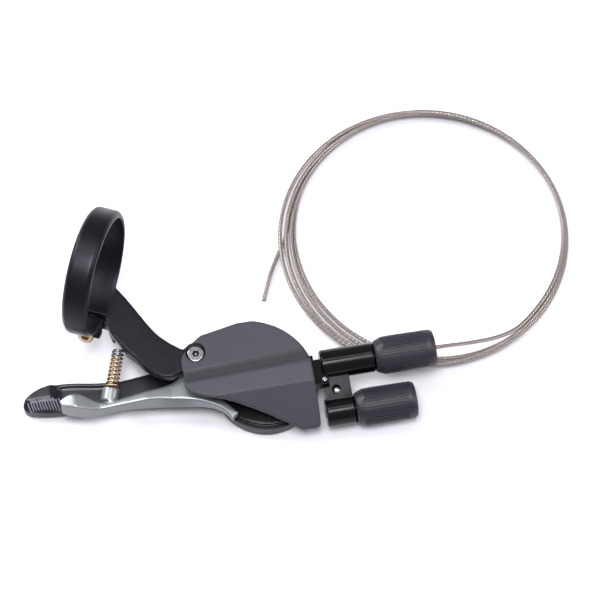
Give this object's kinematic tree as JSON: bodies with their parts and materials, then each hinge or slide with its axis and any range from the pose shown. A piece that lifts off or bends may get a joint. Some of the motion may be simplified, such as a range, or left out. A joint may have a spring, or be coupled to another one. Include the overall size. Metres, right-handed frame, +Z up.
{
  "type": "fork lockout lever",
  "caption": "Handlebar lockout lever for a suspension fork: bar clamp, thumb lever, release lever with spring, cable adjusters and a coiled inner wire.",
  "frame": {"origin": "centre of the handlebar clamp's bore, halfway along its width", "axes": "+X along the handlebar towards the lever's body; +Z up as the lever lies in the picture; +Y towards the far side of the handlebar"},
  "size_m": [0.1388, 0.1292, 0.0501],
  "materials": {
    "black_anodised": "satin black anodised",
    "block_black": "gloss black anodised",
    "cover_plastic": "fine satin moulding",
    "lever_black": "satin moulding",
    "spool_plastic": "smooth moulding",
    "lever_grey": "silver grey paint",
    "knob_rubber": "matt with fine ribs",
    "bolt_steel": "bright plated",
    "spring_steel": "drawn wire",
    "spring_brass": "drawn wire",
    "bearing_brass": "turned",
    "wire_steel": "stranded wire"
  },
  "bodies": {
    "frame": {"bar_clamp": "black_anodised", "pinch_bolt": "bolt_steel", "chassis": "block_black", "cover": "cover_plastic", "pivot_screw": "bolt_steel", "pivot_bush": "bearing_brass", "pivot_nut": "bolt_steel", "main_axle": "bolt_steel", "axle_washer": "bolt_steel", "axle_screw": "bolt_steel", "pawl_pin": "bolt_steel", "adjuster_block": "block_black", "block_pin": "bolt_steel", "set_screw": "spring_brass", "upper_knob_spring": "spring_steel", "lower_knob_spring": "spring_steel", "cable_run": "wire_steel", "cable_coil": "wire_steel", "cable_tail": "wire_steel"},
    "thumb_lever": {"main_lever": "lever_black", "cable_spool": "spool_plastic", "main_bush": "bearing_brass", "cable_head": "bolt_steel", "return_spring": "spring_steel"},
    "release": {"release_lever": "lever_grey", "release_spring": "spring_brass"},
    "pawl_arm": {"pawl": "bolt_steel", "pawl_spring": "spring_steel"},
    "upper_adjuster": {"upper_barrel": "block_black", "upper_knob_core": "spool_plastic", "upper_knob": "knob_rubber"},
    "lower_adjuster": {"lower_barrel": "block_black", "lower_knob_core": "spool_plastic", "lower_knob": "knob_rubber"}
  },
  "joints": [
    {"name": "main_press", "type": "hinge", "parent": "frame", "child": "thumb_lever", "pos_m": [0.05064, -0.00777, -0.0256], "axis": [0, 0, -1], "range_deg": [0, 14], "stiffness_Nm_per_rad": 0.06},
    {"name": "release_press", "type": "hinge", "parent": "frame", "child": "release", "pos_m": [0.03075, -0.00888, -0.0236], "axis": [0, 0, -1], "range_deg": [0, 7], "stiffness_Nm_per_rad": 0.15},
    {"name": "pawl_lift", "type": "hinge", "parent": "frame", "child": "pawl_arm", "pos_m": [0.03785, -0.01086, -0.0241], "axis": [0, 0, -1], "range_deg": [0, 15]},
    {"name": "upper_adjuster_turn", "type": "hinge", "parent": "frame", "child": "upper_adjuster", "pos_m": [0.078, 0.00455, -0.0217], "axis": [0.9063, 0.4226, 0], "continuous": true},
    {"name": "lower_adjuster_turn", "type": "hinge", "parent": "frame", "child": "lower_adjuster", "pos_m": [0.08332, -0.00687, -0.0265], "axis": [0.9063, 0.4226, 0], "continuous": true}
  ],
  "couplings": [
    {"joint": "pawl_lift", "follows": "release_press", "ratio": 2}
  ]
}
